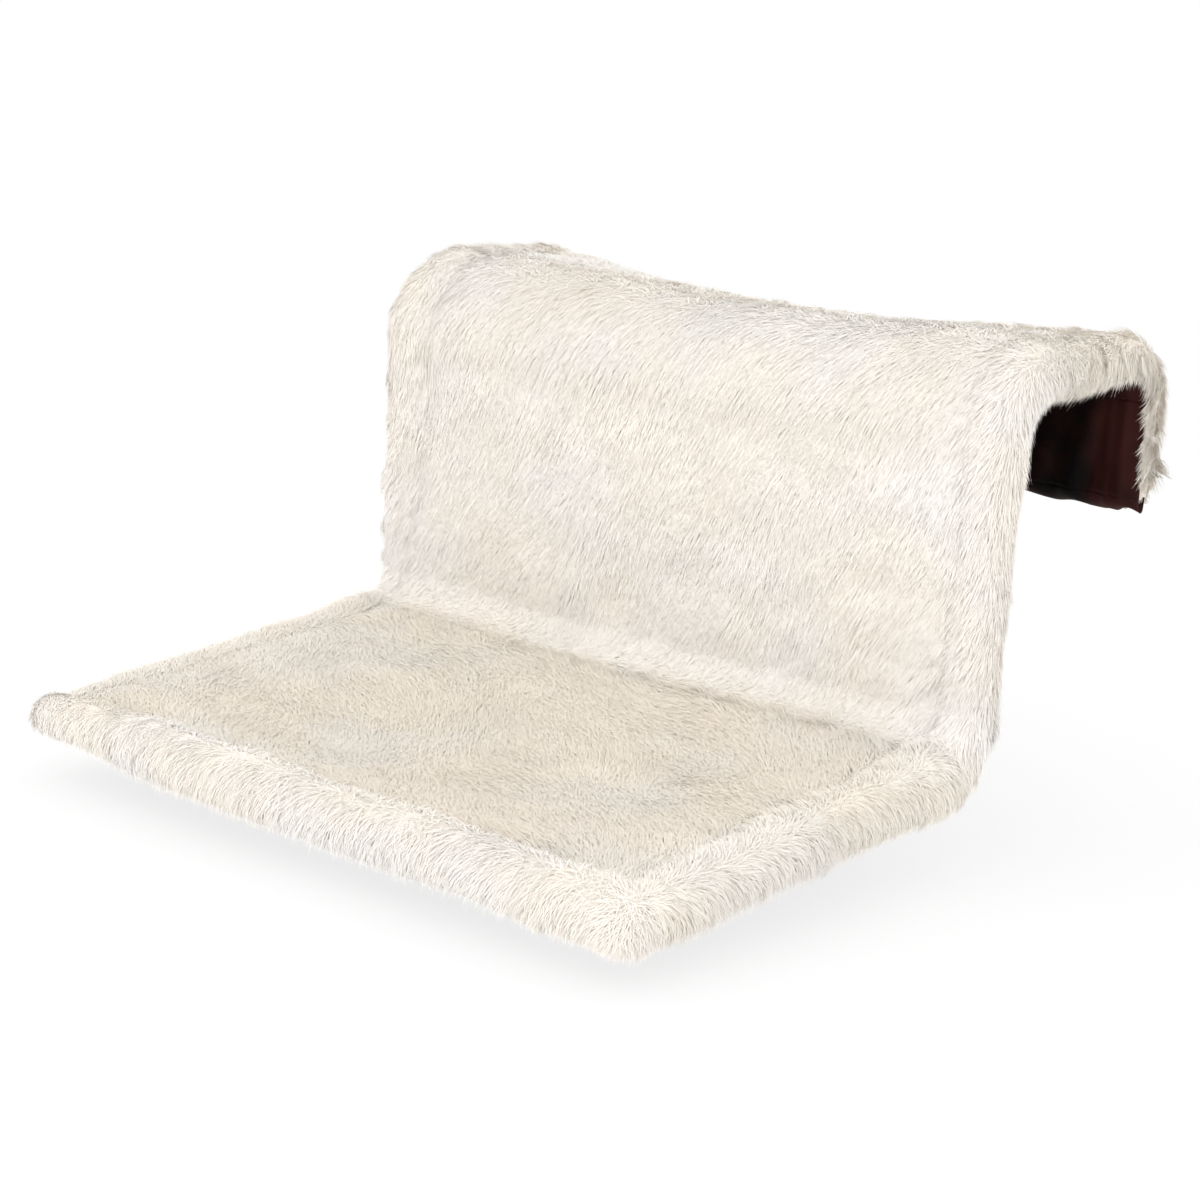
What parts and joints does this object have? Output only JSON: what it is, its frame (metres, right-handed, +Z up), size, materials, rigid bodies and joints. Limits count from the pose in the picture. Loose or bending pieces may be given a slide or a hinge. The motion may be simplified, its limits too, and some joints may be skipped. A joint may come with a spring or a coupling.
{
  "type": "radiator cat bed",
  "caption": "Plush cat bed that hangs on a radiator: bent tube frame, hammock seat, tall back and a hook over the radiator's top, in a padded cover with a zip.",
  "frame": {"origin": "middle of the hook's underside, where it rests on top of the radiator", "axes": "+X to the right across the bed, -Y out of the radiator's front towards the seat's front, +Z up"},
  "size_m": [0.435, 0.4357, 0.2717],
  "materials": {
    "frame_steel": "powder coated, satin",
    "plated_steel": "zinc plated",
    "cap_plastic": "moulded",
    "padding": "fibre wadding",
    "plush": "long-pile plush, cream",
    "lining": "woven, dark brown",
    "zip_tape": "woven tape, dark brown",
    "zip_teeth": "moulded, brown",
    "zip_metal": "antique nickel"
  },
  "bodies": {
    "bed": {"back_lining": "lining", "back_plush": "plush", "back_roll_left": "plush", "back_roll_right": "plush", "back_wadding": "padding", "bar_caps": "cap_plastic", "bar_inserts": "plated_steel", "bar_saddles": "cap_plastic", "corner_bar": "frame_steel", "corner_lining": "lining", "corner_plush": "plush", "flap_hem": "lining", "flap_lining": "lining", "flap_plush": "plush", "frame_screws": "plated_steel", "front_bar": "frame_steel", "front_lining": "lining", "front_padding": "padding", "front_roll": "plush", "hook_bar": "frame_steel", "hook_lining": "lining", "hook_plush": "plush", "hook_roll_left": "plush", "hook_roll_right": "plush", "rail_inserts": "plated_steel", "rail_plugs": "cap_plastic", "screw_washers": "plated_steel", "seat_lining": "lining", "seat_plush": "plush", "seat_roll_left": "plush", "seat_roll_right": "plush", "seat_wadding": "padding", "side_padding_left": "padding", "side_padding_right": "padding", "side_tube_left": "frame_steel", "side_tube_right": "frame_steel", "top_bar": "frame_steel", "zip_row_front": "zip_teeth", "zip_row_rear": "zip_teeth", "zip_stops": "zip_metal", "zip_tape_front": "zip_tape", "zip_tape_rear": "zip_tape"},
    "zip_slider": {"zip_slider": "zip_metal"},
    "zip_pull": {"zip_pull": "zip_metal"}
  },
  "joints": [
    {"name": "zip_slide", "type": "slide", "parent": "bed", "child": "zip_slider", "axis": [-1, 0, 0], "range_m": [0, 0.346]},
    {"name": "zip_pull_swing", "type": "hinge", "parent": "zip_slider", "child": "zip_pull", "pos_m": [0.173, -0.27749, -0.23108], "axis": [0, 0.9954, 0.0958], "range_deg": [-80, 80]}
  ]
}
